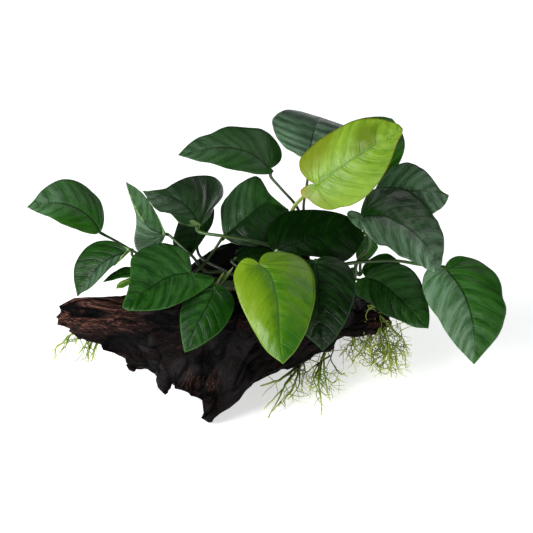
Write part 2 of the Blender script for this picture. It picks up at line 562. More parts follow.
# Hanging roots: each run's places and thickness, and the rootlets that wander from them within a box
ROOTS = {
    "front_roots": dict(seed=3, rootlets=34, step=1.5, curl=0.14, within=(252, 355, 312, 420), runs=[
        [(306, 356, 26), (299, 368, 12), (287, 382, -8), (278, 400, -28), (268, 418, -44), 1.15],
        [(304, 360, 20), (284, 377, 0), (272, 382, -8), (261, 386, -12), 1.5],
        [(304, 360, 20), (290, 380, -8), (276, 396, -22), (264, 409, -34), 0.9],
        [(302, 362, 14), (292, 388, -14), (281, 401, -26), (273, 411, -36), 0.9],
        [(300, 366, 12), (294, 386, -10), (286, 398, -22), (278, 405, -30), 0.8],
        [(300, 366, 12), (299, 384, -8), (293, 394, -16), (288, 399.5, -22), 0.8],
        [(304, 362, 14), (305, 372, 4), (302, 384, -6), 0.7],
        [(330, 356, 24), (319, 363, 16), (308, 371, 6), (297, 376, 2), 0.8],
    ]),
    "middle_roots": dict(seed=5, rootlets=40, step=1.5, curl=0.16, within=(306, 346, 348, 417), runs=[
        [(328, 344, 34), (322, 360, 18), (318, 379, -4), (321, 398, -26), (321, 415, -43), 1.1],
        [(325, 350, 30), (324, 366, 12), (326, 384, -8), (330, 401, -26), 0.9],
        [(322, 358, 20), (317, 372, 4), (310, 387, -14), 0.9],
        [(322, 360, 18), (320, 380, -6), (326, 378, -4), (331, 382, 0), (335, 382, 0), (338, 375, 4), 0.8],
        [(334, 347, 34), (331, 359, 24), (335, 367, 16), (340, 374, 8), (345, 374, 8), 0.7],
        [(320, 362, 16), (313, 376, 0), (321, 398, -26), 0.6],
    ]),
    "right_roots": dict(seed=9, rootlets=190, step=1.6, curl=0.24, within=(339, 300, 412, 379), runs=[
        [(374, 302, 58), (380, 322, 52), (388, 346, 40), (392, 377, 24), 1.1],
        [(376, 310, 56), (390, 326, 52), (402, 338, 46), (408, 353, 38), 1.0],
        [(376, 310, 54), (373, 330, 48), (365, 344, 46), (353, 362, 38), 1.1],
        [(372, 304, 52), (362, 326, 44), (348, 346, 38), (340, 356, 34), 0.9],
        [(384, 336, 46), (392, 350, 40), (398, 360, 34), 0.8],
        [(378, 318, 52), (382, 342, 40), (385, 360, 32), (391, 372, 26), 0.9],
        [(378, 318, 50), (370, 342, 42), (374, 360, 34), (381, 369, 30), (389, 367, 30), 0.9],
        [(366, 312, 52), (356, 330, 46), (352, 346, 40), (346, 360, 34), 0.8],
        [(372, 308, 50), (384, 320, 44), (396, 334, 40), (410, 350, 36), 0.9],
    ]),
    "left_roots": dict(seed=13, rootlets=16, step=1.2, curl=0.14, within=(50, 330, 124, 364), runs=[
        [(90, 334, 10), (86, 344, 6), (78, 354, 2), 1.1],
        [(96, 334, 12), (97, 342, 10), (95, 349, 6), (91.5, 361, 0), 1.5],
        [(84, 330, 10), (70, 335, 6), (63, 342, 2), (52, 351, -2), 1.1],
        [(88, 336, 8), (89, 348, 4), (88, 363, -2), 0.9],
        [(70, 335, 6), (66, 345, 2), (60, 353, -2), 0.8],
        [(80, 334, 8), (77, 340, 6), (75, 345, 4), 1.1],
        [(92, 340, 8), (91, 347, 6), (86, 354, 2), 0.9],
    ]),
}

# Splinters and knobs of the wood, drawn on the sheet: column, row, how far back, half thicknesses
SPLINTERS = [
    [(140, 314, 10, 8, 8), (112, 308, 8, 11, 9), (88, 304, 6, 10, 7), (70, 305, 5, 7, 5),
     (57, 306.5, 4, 4, 2.4)],
    [(140, 320, 10, 8, 8), (112, 319, 8, 11, 9), (88, 317, 5, 10, 7), (68, 316.5, 3, 7, 4),
     (53, 317, 4, 4, 2.2)],
    [(130, 328, 10, 8, 8), (104, 328, 8, 10, 8), (84, 326, 5, 8, 6), (68, 323, 3, 5, 4),
     (56, 323.5, 4, 3, 1.6)],
    [(140, 338, 6, 10, 8), (118, 338, 2, 10, 9), (98, 337, 2, 8, 6), (80, 335, 2, 5, 4), (70, 330, 3, 4, 3)],
    [(140, 352, -4, 12, 10), (126, 350, -4, 8, 7), (113, 350.5, -6, 5, 2.2), (101, 349.5, -6, 3, 1.2)],
    [(150, 352, -6, 14, 12), (138, 358, -9, 9, 9), (132, 366, -12, 7, 5), (134, 372, -14, 5, 3)],
    [(168, 352, -12, 18, 14), (152, 362, -14, 12, 9), (147, 369, -16, 8, 5)],
    [(178, 360, -18, 14, 12), (166, 376, -24, 9, 8), (164, 387, -30, 6, 5), (165, 396, -36, 4, 3)],
    [(190, 370, -28, 14, 12), (186, 384, -36, 11, 9), (194, 394, -42, 9, 6), (204, 400, -46, 7, 4)],
    [(205, 385, -36, 14, 11), (210, 398, -42, 11, 10), (209, 411, -48, 8, 7), (207, 421, -50, 6, 4)],
    [(228, 378, -28, 14, 12), (226, 394, -38, 11, 10), (218, 408, -46, 8, 7), (210, 419, -50, 6, 5)],
    [(244, 372, -22, 14, 12), (238, 388, -32, 10, 10), (230, 402, -42, 8, 7)],
    [(240, 372, -22, 18, 12), (262, 364, -12, 16, 12), (284, 357, 0, 14, 10), (310, 350, 14, 11, 8),
     (334, 342, 28, 8, 6)],
    [(240, 330, -26, 16, 14), (270, 320, -16, 16, 14), (300, 316, 0, 14, 12), (340, 318, 28, 12, 12)],
    [(330, 326, 30, 14, 12), (360, 322, 44, 12, 12), (386, 318, 56, 8, 10)],
]

# The outline of the wood on the sheet. Where leaves hide it, it is drawn wide of the wood.
OUTLINE = [
    (59, 306), (66, 302), (74, 298), (88, 297), (100, 297), (107, 296.5), (123, 295.5), (150, 275),
    (178, 262), (191, 265), (198, 259), (206, 254), (213, 248.5), (218, 247.5), (223, 243.5),
    (231, 240), (250, 225), (345, 225), (400, 280), (400, 322), (387.5, 329), (373, 335), (365, 336),
    (357, 337.5), (340, 336), (335, 343), (334, 348), (330, 352), (323, 352), (313.5, 355), (311, 359),
    (305.5, 362), (295, 367), (287, 370), (284, 367.5), (277, 372.5), (270, 375), (262, 379),
    (255, 383), (246, 390.5), (239.5, 400), (230, 408), (221, 413), (213.5, 419), (212, 422.5),
    (208, 422.5), (203.5, 419.5), (201, 418), (203.5, 413), (209, 410), (209, 405), (207, 403.5),
    (203, 401), (197, 397), (191, 396), (186, 390), (181, 390), (174, 388.5), (169, 389), (168, 393),
    (165, 395), (163, 393), (156, 386), (151.5, 377), (148, 369), (137, 371), (133, 372), (129, 370),
    (121, 357), (114, 353), (103, 350), (106, 347.5), (97, 344), (86, 341), (84, 339), (78, 339.5),
    (77, 337), (68.5, 331), (65, 326.5), (60, 325.5), (57, 324.5), (60, 321), (56, 317), (60, 313),
    (64, 311), (60, 309),
]

# Lines that the grain follows, and worn smooth patches on the sheet: column, row and half sizes
GRAIN_LEFT = [(-180, 0, 68), (-128, 8, 62), (-80, 6, 56), (-30, 4, 56), (30, 10, 60)]
GRAIN_RIGHT = [(-55, -60, -5), (-42, -46, 12), (-20, -14, 36), (12, 14, 46), (56, 50, 46), (95, 115, 20)]
SMOOTH_PATCHES = [(146, 343, 8, 10), (184, 368, 17, 14)]

WOOD_NODES = (
    "wood_left_arm", "wood_trunk", "wood_right_arm", "wood_front_toe", "wood_rear_foot", "wood_back_limb",
)


def make_piece(name, places, faces, materials, replaces=(), marks=None, face_slots=None):
    """A smooth mesh piece from places in millimetres, riding on the part."""
    mesh = bpy.data.meshes.new(name)
    mesh.from_pydata(((np.asarray(places) - CENTRE) * METRES).tolist(), [], faces)
    for key, values in (marks or {}).items():
        layer = mesh.attributes.new(key, "FLOAT_VECTOR", "POINT")
        layer.data.foreach_set("vector", np.asarray(values, np.float32).ravel())
    for material in materials:
        mesh.materials.append(material)
    if face_slots is not None:
        mesh.polygons.foreach_set("material_index", np.asarray(face_slots, np.int32))
    mesh.shade_smooth()
    mesh.update()
    piece = bpy.data.objects.new(name, mesh)
    bpy.context.scene.collection.objects.link(piece)
    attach(piece, "root")
    if replaces:
        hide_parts(*replaces)
    return piece


def vertex_normals(places, faces):
    """Mean direction of the triangles and quads round each place."""
    normals = np.zeros_like(places)
    for face in faces:
        corners = places[list(face)]
        across = np.cross(corners[2] - corners[0], corners[-1] - corners[1])
        normals[list(face)] += across
    size = np.linalg.norm(normals, axis=1, keepdims=True)
    return normals / np.maximum(size, 1e-9)


def joined_grid(grid):
    """Faces over a grid of places whose equal places are one, and which places those are."""
    rows, across = grid.shape[:2]
    flat = grid.reshape(-1, 3)
    _, first, same = np.unique(np.round(flat, 3), axis=0, return_index=True, return_inverse=True)
    same = same.reshape(-1)
    faces = []
    for row in range(rows - 1):
        for column in range(across - 1):
            start = row * across + column
            corners = [same[start], same[start + across], same[start + across + 1], same[start + 1]]
            kept = [corner for k, corner in enumerate(corners) if corner != corners[k - 1]]
            if len(set(kept)) > 2:
                faces.append(tuple(int(corner) for corner in kept))
    return first, faces


def blade_relief(leaf, places, pleats, width, out, rise, side):
    """How far each place of a blade stands out of its plain curved form, in millimetres."""
    seed = leaf["seed"]
    near_tip = np.clip((1 - rise) * 5, 0, 1)
    reach = (1 - np.exp(-width / 3)) * (1 - 0.6 * out**4) * near_tip
    strength = 0.75 + 0.45 * noise(places / PLEAT_PATCH, seed + 3)
    wave = 0.5 - 0.5 * np.cos(2 * math.pi * pleats)
    height = leaf["pleat"] * PLEAT_HEIGHT * wave * strength * reach
    height = height - RIB_DEPTH * np.exp(-((width / RIB_HALF_WIDTH) ** 2)) * (1 - 0.7 * rise)
    height = height + WAVE_HEIGHT * noise(places / WAVE_SIZE, seed) * np.clip(width / 6, 0, 1) * near_tip
    rumple = leaf["rumple"] * RUMPLE_HEIGHT * noise(places / RUMPLE_SIZE, seed + 1)
    height = height + rumple * np.clip(width / 3, 0, 1) * near_tip
    ripple = noise(np.stack([pleats / 1.7, 0 * pleats + side, 0 * pleats], axis=-1), seed + 2)
    return height + EDGE_WAVE * ripple * out**4 * near_tip


def blade_side(leaf, places, width, rise, side):
    """One half of a blade's face with its relief: nine marks follow each place."""
    share = np.linspace(0, 1, len(places))[:, None] + 0 * width
    out = np.linspace(0, 1, len(places[0]))[None, :] + 0 * width
    uneven = 0.035 * noise(np.stack([5 * share, 0 * share + side, 0 * share], axis=-1), leaf["seed"] + 4)
    pleats = (share + uneven) * leaf.get("pleats", PLEATS)
    relief = blade_relief(leaf, places, pleats, width, out, rise, side)
    near, far = leaf.get("film", ((0, 0), (0, 0)))[side]
    film = near + (far - near) * smooth_step(rise, 0.2, 0.85)
    margin = (1 - out) * width[:, -1:]
    tint = leaf["tint"] + 0 * width
    marks = (pleats, out * (1, -1)[side], width, rise, tint, margin, film, 0 * film, 0 * film)
    _, _, _, normal = blade_frame(leaf)
    return np.concatenate([places + relief[..., None] * normal, np.stack(marks, axis=-1)], axis=-1)


def make_blade(leaf, upper, under):
    """A blade with sunk veins, pleats between them, a keel below and thin edges."""
    halves = blade_places(leaf, leaf.get("rows", BLADE_ROWS), leaf.get("columns", BLADE_COLUMNS))
    left, right = (blade_side(leaf, *half, side) for side, half in enumerate(halves))
    grid = np.concatenate([left[:, ::-1], right[:, 1:]], axis=1)
    first, faces = joined_grid(grid[..., :3])
    top, marks = np.split(grid.reshape(-1, grid.shape[-1])[first], [3], axis=1)
    _, _, _, normal = blade_frame(leaf)
    normals = vertex_normals(top, faces)
    if (normals @ normal).sum() < 0:
        faces = [face[::-1] for face in faces]
        normals = -normals
    width, rise, margin = marks[:, 2], marks[:, 3], marks[:, 5]
    thickness = BLADE_THICKNESS * (0.45 + 0.55 * np.clip(margin / THIN_EDGE, 0, 1))
    thickness = thickness + KEEL_HEIGHT * np.exp(-((width / KEEL_HALF_WIDTH) ** 2)) * (1 - 0.6 * rise)
    bottom = top - thickness[:, None] * normals
    count = len(top)
    used = {pair: True for face in faces for pair in zip(face, face[1:] + face[:1])}
    rims = [(start, end) for start, end in used if (end, start) not in used]
    below = [tuple(corner + count for corner in face[::-1]) for face in faces]
    sides = [(end, start, start + count, end + count) for start, end in rims]
    both = np.tile(marks, (2, 1))
    make_piece(
        leaf["name"] + "_surface",
        np.concatenate([top, bottom]),
        faces + below + sides,
        [upper, under],
        [leaf["name"] + "_blade"],
        {"leaf": both[:, :3], "grow": both[:, 3:6], "film": both[:, 6:]},
        [0] * len(faces) + [1] * len(below) + [0] * len(sides),
    )


def stalk_path(leaf):
    """The way of a leaf's stalk from the creeping stem into the keel under the blade."""
    rhizome = smooth_path(RHIZOME, RIB_STEPS)
    index = min(max(round(leaf["root"] * (RIB_STEPS - 1)), 1), RIB_STEPS - 2)
    centre = rhizome[index]
    axis = unit(rhizome[index + 1] - rhizome[index - 1])
    way = [spot(*place) for place in leaf["stem"]]
    out = way[-1] - centre
    out = unit(out - (out @ axis) * axis + STALK_LIFT * UPRIGHT)
    start = [centre + (RHIZOME_RADIUS + reach) * out for reach in (-STALK_SUNK, STALK_SHEATH)]
    base, _, ahead, normal = blade_frame(leaf)
    end = [base - STALK_BELOW * normal - STALK_BEFORE * ahead, base - KEEL_DROP * normal]
    return start + way[::-1] + end + [base - KEEL_DROP * normal + STALK_UNDER * ahead]


def make_stalk(leaf, material):
    """A leaf's stalk: a sheath where it starts, slim in the middle, a thick joint under the blade."""
    way = stalk_path(leaf)
    count = 9 * len(way)
    path = evenly(way, count)
    length = np.linalg.norm(np.diff(path, axis=0), axis=1).sum()
    along = np.linspace(0, 1, count)
    radii = leaf["stalk"] * (STALK_RADIUS + (STALK_END_RADIUS - STALK_RADIUS) * smooth_step(along, 0, 0.7))
    radii = radii * (1 + 0.35 * np.exp(-((along * length) / 9) ** 2))
    radii = radii * (1 + 0.25 * np.exp(-(((1 - along) * length - 9) / 5) ** 2))
    radii = radii * (1 - 0.5 * smooth_step(along * length, length - 4, length))
    places, faces = tube(path, radii, STALK_SIDES)
    marks = {"grow": along_marks(along, STALK_SIDES, leaf["stalk_tint"])}
    name, stalk = leaf["name"] + "_stem", leaf["name"] + "_stalk"
    make_piece(name, places, faces, [material], [stalk], marks)


def make_rhizome(material):
    """The creeping stem, with a ring and a low swelling at each old leaf's place."""
    path = evenly(RHIZOME, RHIZOME_STEPS)
    along = np.linspace(0, 1, RHIZOME_STEPS)
    ring = (along * RHIZOME_RINGS) % 1
    radii = RHIZOME_RADIUS * (0.95 + 0.1 * np.sin(math.pi * ring) - 0.09 * np.exp(-(ring / 0.07) ** 2))
    radii = radii * smooth_step(along, -0.05, 0.03)
    places, faces = tube(path, radii, RHIZOME_SIDES)
    middle = np.vstack([path[:1], path[:1], path, path[-1:], path[-1:]]).repeat(RHIZOME_SIDES, axis=0)
    out = unit(places - middle + 1e-6)
    places = places + (0.35 * noise(places / 3, 5) + 0.3 * noise(places / 7, 6))[:, None] * out
    marks = {"grow": along_marks(along, RHIZOME_SIDES)}
    make_piece("creeping_stem", places, faces, [material], ["rhizome"], marks)


def make_shoots(material):
    """Rolled young leaves, each a flattened spindle."""
    runs, marks = [], []
    for shoot, radii in SHOOTS:
        path = smooth_path([spot(*place) for place in shoot], SHOOT_STEPS)
        along = np.linspace(0, 1, SHOOT_STEPS)
        girth = np.interp(along, np.linspace(0, 1, len(radii)), radii)
        runs.append(tube(path, girth, STALK_SIDES, 0.8))
        marks.append(along_marks(along, STALK_SIDES))
    places, faces = several(runs)
    marks = {"grow": np.concatenate(marks)}
    make_piece("rolled_shoots", places, faces, [material], ["young_shoots"], marks)


def make_root_bunch(name, bunch, material):
    """A bunch of hanging roots: measured main runs and finer rootlets that wander from them."""
    random = np.random.default_rng(bunch["seed"])
    runs, marks = [], []

    def add_root(path, radii, tone, begin=0.0):
        runs.append(tube(path, radii, ROOT_SIDES))
        marks.append(along_marks(np.linspace(begin, 1, len(path)), ROOT_SIDES, tone))

    mains = []
    for run in bunch["runs"]:
        *points, thick = run
        count = 7 * len(points)
        path = evenly([spot(*place) for place in points], count)
        path = path + 0.5 * np.stack([noise(path / 5, 20 + axis) for axis in range(3)], axis=-1)
        radii = np.linspace(thick, 0.45 * thick, count) * (1 + 0.12 * noise(path / 2.5, 30))
        mains.append(path)
        add_root(path, radii, random.uniform(0.2, 0.8))
    for _ in range(bunch["rootlets"]):
        path = mains[random.integers(len(mains))]
        begin = random.integers(1, len(path) - 2)
        place = path[begin].copy()
        way = unit(random.normal(size=3) * np.array([1, 0.7, 0.7]) + np.array([0, -0.2, -0.5]))
        turn = random.normal(size=3)
        walk = [place]
        for _ in range(random.integers(*ROOTLET_STEPS)):
            turn = 0.7 * turn + 0.7 * random.normal(size=3)
            way = unit(way + turn * bunch["curl"] + np.array([0, -0.02, -0.08]))
            place = place + bunch["step"] * way
            if place[2] < ROOT_END_RADIUS or not inside_low(place, bunch["within"]):
                break
            walk.append(place)
        if len(walk) > 3:
            radii = np.linspace(1, 0.5, len(walk)) * random.uniform(*ROOTLET_RADII)
            add_root(np.array(walk), radii, random.uniform(0, 1), 0.7 * begin / len(path))
    places, faces = several(runs)
    places[:, 2] = np.maximum(places[:, 2], ROOT_FLOOR)
    marks = {"grow": np.concatenate(marks)}
    make_piece(name + "_bunch", places, faces, [material], [name], marks)


def sheet_of(places):
    """The column and row of the sheet at which places are seen."""
    way = places - EYE
    way = way / (way @ SIGHT)[..., None] * VIEW_DISTANCE
    return SHEET_SQUARES / 2 + way @ RIGHTWARD / SQUARE, SHEET_SQUARES / 2 - way @ UPWARD / SQUARE


def inside_low(place, within):
    """Whether a place is seen within a box of the sheet."""
    column, row = sheet_of(place)
    left, top, right, low = within
    return left < column < right and top < row < low


def limb(stations, steps=5, sides=WOOD_SIDES):
    """A closed limb with rounded ends: stations give the middle, half depth and half height."""
    known = np.array([(*station[:4], station[-1]) for station in stations], float)
    fine = smooth_path(known, steps * (len(known) - 1) + 1)
    middles = fine[:, :3]
    angles = 2 * math.pi * np.arange(sides)[:, None] / sides
    ends = np.vstack([2 * middles[0] - middles[1], 2 * middles[-1] - middles[-2]])
    rings = []
    for index, (centre, depth, height) in enumerate(zip(middles, fine[:, 3], fine[:, 4])):
        ahead = unit(middles[min(index + 1, len(middles) - 1)] - middles[max(index - 1, 0)])
        across = unit(np.cross(ahead, UPRIGHT if abs(ahead[2]) < 0.8 else np.array([0.0, 1.0, 0.0])))
        over = np.cross(across, ahead)
        sideways = np.cos(angles) * max(depth, 0.8) * across
        rings.append(centre + sideways + np.sin(angles) * max(height, 0.8) * over)
    first = 0.5 * (ends[0] - middles[0]) + middles[0] + 0.5 * (rings[0] - middles[0])
    last = 0.5 * (ends[1] - middles[-1]) + middles[-1] + 0.5 * (rings[-1] - middles[-1])
    return closed_rings(np.array([first, *rings, last]))


def splinter(stations):
    """A limb drawn on the sheet: each station is a column, row, how far back, and half thicknesses."""
    return limb([(*spot(*station[:3]), *station[3:]) for station in stations], steps=4, sides=12)


def grain_places(places, line):
    """Distance along a line of grain and the two offsets across it, and how far off it each place is."""
    fine = evenly(line, 60)
    ways = unit(np.gradient(fine, axis=0))
    run = np.concatenate([[0.0], np.cumsum(np.linalg.norm(np.diff(fine, axis=0), axis=1))])
    gap = places[:, None] - fine[None]
    distance = np.linalg.norm(gap, axis=-1)
    nearest = distance.argmin(axis=1)
    gap = gap[np.arange(len(places)), nearest]
    way = ways[nearest]
    across = unit(np.cross(way, UPRIGHT))
    over = np.cross(across, way)
    dots = [(gap * axis).sum(axis=-1) for axis in (way, across, over)]
    return np.stack([run[nearest] + dots[0], dots[1], dots[2]], axis=-1), distance.min(axis=1)


def grooves(grain, seed):
    """Along the grain: open cracks and finer lines, both 1 in the deepest, and the steps of split layers."""
    crack = 1 - np.abs(noise(grain / np.array(CRACK_SIZE), seed))
    line = 1 - np.abs(noise(grain / np.array(LINE_SIZE), seed + 1))
    layer = smooth_step(noise(grain / np.array(LAYER_SIZE), seed + 2), -0.12, 0.12)
    return np.stack([crack ** 6, line ** 4, layer])


def kept_inside(places, outline):
    """The places with those seen outside an outline on the sheet moved onto it, at the same depth."""
    depth = (places - EYE) @ SIGHT
    seen = np.stack(sheet_of(places), axis=-1)
    starts = np.array(outline, float)
    ends = np.roll(starts, -1, axis=0)
    inside = np.zeros(len(seen), bool)
    closest = np.full(len(seen), np.inf)
    target = seen.copy()
    for start, end in zip(starts, ends):
        crossing = (start[1] > seen[:, 1]) != (end[1] > seen[:, 1])
        level = (seen[:, 1] - start[1]) / (end[1] - start[1] + 1e-12)
        inside ^= crossing & (seen[:, 0] < start[0] + level * (end[0] - start[0]))
        along = np.clip((seen - start) @ (end - start) / ((end - start) @ (end - start)), 0, 1)
        nearest = start + along[:, None] * (end - start)
        gap = np.linalg.norm(seen - nearest, axis=1)
        nearer = gap < closest
        closest[nearer] = gap[nearer]
        target[nearer] = nearest[nearer]
    target = np.where(inside[:, None], seen, target)
    right = (target[:, 0] - SHEET_SQUARES / 2) * SQUARE / VIEW_DISTANCE
    up = (SHEET_SQUARES / 2 - target[:, 1]) * SQUARE / VIEW_DISTANCE
    return EYE + depth[:, None] * (SIGHT + right[:, None] * RIGHTWARD + up[:, None] * UPWARD)


def fused_wood():
    """Places, directions out of the surface and faces of the limbs and splinters, fused into one solid."""
    runs = [limb(MAIN_RUN), limb(FRONT_TOE), limb(REAR_FOOT), limb(BACK_LIMB)]
    runs += [splinter(stations) for stations in SPLINTERS]
    places, faces = several(runs)
    mesh = bpy.data.meshes.new("wood_work")
    mesh.from_pydata((places * METRES).tolist(), [], faces)
    work = bpy.data.objects.new("wood_work", mesh)
    bpy.context.scene.collection.objects.link(work)
    fused = work.modifiers.new("fused", "REMESH")
    fused.mode = "VOXEL"
    fused.voxel_size = WOOD_MESH * METRES
    smooth = work.modifiers.new("smooth", "SMOOTH")
    smooth.factor = 0.5
    smooth.iterations = 3
    made = work.evaluated_get(bpy.context.evaluated_depsgraph_get()).to_mesh()
    places, normals = (np.empty(3 * len(made.vertices)) for _ in range(2))
    made.vertices.foreach_get("co", places)
    made.vertex_normals.foreach_get("vector", normals)
    faces = [tuple(face.vertices) for face in made.polygons]
    bpy.data.objects.remove(work)
    return places.reshape(-1, 3) / METRES, normals.reshape(-1, 3), faces


def worn_smooth(places, column, row):
    """How smooth the wood is worn at each place, from 0 to 1."""
    smoothness = 0.8 * smooth_step(noise(places / 30, 70), 0.25, 0.55)
    for middle_column, middle_row, half_width, half_height in SMOOTH_PATCHES:
        reach = ((column - middle_column) / half_width) ** 2 + ((row - middle_row) / half_height) ** 2
        reach = reach + 0.5 * noise(places / 9, 75)
        in_front = places[:, 1] < 20
        smoothness = np.maximum(smoothness, (1 - smooth_step(reach, 0.5, 1.3)) * in_front)
    return smoothness


def make_wood(material):
    """The driftwood, one weathered solid: worn along the grain of its left part or its right one."""
    places, normals, faces = fused_wood()
    left, left_gap = grain_places(places, GRAIN_LEFT)
    right, right_gap = grain_places(places, GRAIN_RIGHT)
    warp = [GRAIN_WARP * noise(places / GRAIN_WARP_SIZE, 40 + axis) for axis in range(3)]
    warp = np.stack(warp, axis=-1)
    share = smooth_step(left_gap - right_gap, -8, 8)
    cuts = grooves(left + warp, 50)
    crack, line, layer = cuts + (grooves(right + warp, 60) - cuts) * share
    column, row = sheet_of(places)
    smoothness = worn_smooth(places, column, row)
    rough = 1 - smoothness
    pits = smooth_step(noise(places / PIT_SIZE, 73), 0.45, 0.8)
    pits = pits * smooth_step(noise(places / PITTED_PATCH, 74), 0.0, 0.4)
    worn = -CRACK_DEPTH * crack * (0.2 + 0.8 * rough) - LINE_DEPTH * line * (0.15 + 0.85 * rough)
    worn = worn + LAYER_STEP * (layer - 0.5) * rough - PIT_DEPTH * pits * rough
    worn = worn + SWELL_HEIGHT * noise(places / SWELL_SIZE, 71)
    worn = worn + LUMP_HEIGHT * noise(places / LUMP_SIZE, 72)
    slim = smooth_step(column, 55, 110)
    places = places + (worn * (0.35 + 0.65 * slim) + WOOD_SKIN)[:, None] * normals
    places = kept_inside(places, OUTLINE)
    places[:, 2] = np.maximum(places[:, 2], 0.0)
    depth = np.clip(crack + 0.45 * line + 0.5 * pits, 0, 1)
    marks = {
        "grain_left": left + warp,
        "grain_right": right + warp,
        "worn": np.stack([share, depth, smoothness], axis=-1),
    }
    make_piece("driftwood", places, faces, [material], WOOD_NODES, marks)


class Mark:
    """A socket of a material's node tree that ordinary arithmetic works on."""

    def __init__(self, socket):
        self.socket = socket
        self.tree = socket.id_data

    def math(self, operation, other=0.0, **settings):
        inputs = {0: self, 1: other}
        return Mark(add_node(self.tree, "ShaderNodeMath", inputs, operation=operation, **settings).outputs[0])

    def __add__(self, other):
        return self.math("ADD", other)

    def __sub__(self, other):
        return self.math("SUBTRACT", other)

    def __mul__(self, other):
        return self.math("MULTIPLY", other)

    def at_least(self, low):
        return self.math("MAXIMUM", low)

    def clipped(self):
        """No less than 0 and no more than 1."""
        return self.math("ADD", use_clamp=True)


def add_node(tree, kind, inputs=None, **settings):
    """A node with its settings, its constants set and its sockets linked."""
    node = tree.nodes.new(kind)
    for name, value in settings.items():
        setattr(node, name, value)
    for name, value in (inputs or {}).items():
        if isinstance(value, Mark):
            tree.links.new(value.socket, node.inputs[name])
        else:
            node.inputs[name].default_value = value
    return node


def band(value, low, high):
    """0 below low and 1 above high, smooth between; turned round where low is the larger."""
    ends = (0.0, 1.0) if low < high else (1.0, 0.0)
    inputs = {"Value": value, "From Min": min(low, high), "From Max": max(low, high)}
    inputs.update({"To Min": ends[0], "To Max": ends[1]})
    node = add_node(value.tree, "ShaderNodeMapRange", inputs, interpolation_type="SMOOTHSTEP")
    return Mark(node.outputs[0])


def blend(share, first, second):
    """A colour between two, each a mark or red, green and blue."""
    tree = share.tree if isinstance(share, Mark) else first.tree
    first, second = (colour if isinstance(colour, Mark) else (*colour, 1.0) for colour in (first, second))
    node = add_node(tree, "ShaderNodeMix", {0: share, 6: first, 7: second}, data_type="RGBA")
    return Mark(node.outputs[2])


def clouds(tree, scale, detail=4.0, vector=None, roughness=0.55):
    """Noise about 0.5, in the piece's own space or in the vector's."""
    vector = vector or Mark(add_node(tree, "ShaderNodeTexCoord").outputs["Object"])
    inputs = {"Scale": scale, "Detail": detail, "Roughness": roughness, "Vector": vector}
    return Mark(add_node(tree, "ShaderNodeTexNoise", inputs).outputs[0])


def stored(tree, name):
    """A mark stored on the mesh."""
    return Mark(add_node(tree, "ShaderNodeAttribute", attribute_name=name).outputs["Vector"])


def parts_of(mark):
    """The three numbers of a mark."""
    return [Mark(part) for part in add_node(mark.tree, "ShaderNodeSeparateXYZ", {0: mark}).outputs]


def start_material(name):
    material = bpy.data.materials.new(name)
    material.use_nodes = True
    return material, material.node_tree, material.node_tree.nodes["Principled BSDF"]


def finish_material(shader, colour, rough, height, strength, distance):
    """Links a colour, a roughness that is a mark or a number, and a bump to the shader."""
    tree = colour.tree
    tree.links.new(colour.socket, shader.inputs["Base Color"])
    if isinstance(rough, Mark):
        tree.links.new(rough.socket, shader.inputs["Roughness"])
    else:
        shader.inputs["Roughness"].default_value = rough
    inputs = {"Height": height, "Strength": strength, "Distance": distance}
    tree.links.new(add_node(tree, "ShaderNodeBump", inputs).outputs[0], shader.inputs["Normal"])


def veins(tree, pleats, out, seed):
    """Marks of a blade's face: pleat crests, sunk vein lines, and broad and fine streaks along the veins."""
    crest = pleats.math("PINGPONG", 0.5) * 2.0
    line = band(crest, 0.16, 0.02)
    streaks = []
    for stretch, scale, detail, roughness in ((1.4, 1.3, 3.0, 0.6), (0.35, 6.5, 4.0, 0.65)):
        place = add_node(tree, "ShaderNodeCombineXYZ", {0: pleats, 1: out * stretch, 2: seed * 61.0})
        streaks.append(clouds(tree, scale, detail, Mark(place.outputs[0]), roughness))
    return crest, line, *streaks


def leaf_material(name, deep, light, rib_colour, edge_colour, shine, gloss, specks=0.0, patch=None):
    """A leaf's upper face: streaks along its side veins, a waxy film on its pleats and a cloudy tone."""
    material, tree, shader = start_material(name)
    pleats, out, width = parts_of(stored(tree, "leaf"))
    rise, tint, margin = parts_of(stored(tree, "grow"))
    film = parts_of(stored(tree, "film"))[0]
    crest, line, broad, streak = veins(tree, pleats, out, tint)
    grain = clouds(tree, 500.0, 3.0)
    tone = tint + (clouds(tree, 26.0) - 0.5) * CLOUD_TONE + (broad - 0.5) * BROAD_TONE
    tone = tone + (streak - 0.5) * STREAK_TONE + (crest - 0.5) * CREST_TONE
    tone = tone + line * LINE_TONE + (grain - 0.5) * GRAIN_TONE
    colour = blend(tone.clipped(), deep, light)
    if patch:
        colour = patch(colour, pleats, out)
    ridge = crest + (streak - 0.5) * 3.0 + (broad - 0.5) * 2.0
    waxed = film * (band(ridge, -0.1, 1.1) * 0.7 + 0.3)
    colour = blend(waxed.at_least(0.0), colour, FILM_COLOUR)
    colour = blend((film * -1.0).at_least(0.0), colour, deep)
    rib = band(width, 0.9, 0.3) * band(rise, 0.85, 0.5)
    colour = blend(rib * 0.8, colour, rib_colour)
    colour = blend(band(margin, EDGE_LINE, 0.05) * 0.8, colour, edge_colour)
    if specks:
        speck = band(clouds(tree, 210.0, 2.0), 0.66, 0.72) * band(clouds(tree, 30.0, 2.0), 0.55, 0.68)
        colour = blend(speck * specks, colour, edge_colour)
    rough = (clouds(tree, 55.0) - 0.5) * 0.3 + shine + (streak - 0.5) * 0.35
    height = streak * 0.9 + line * -0.35 + broad * 1.2 + clouds(tree, 150.0, 3.0) * 0.5 + grain * 0.12
    finish_material(shader, colour, rough, height, 0.5, 0.0009)
    shader.inputs["Specular IOR Level"].default_value = gloss
    return material


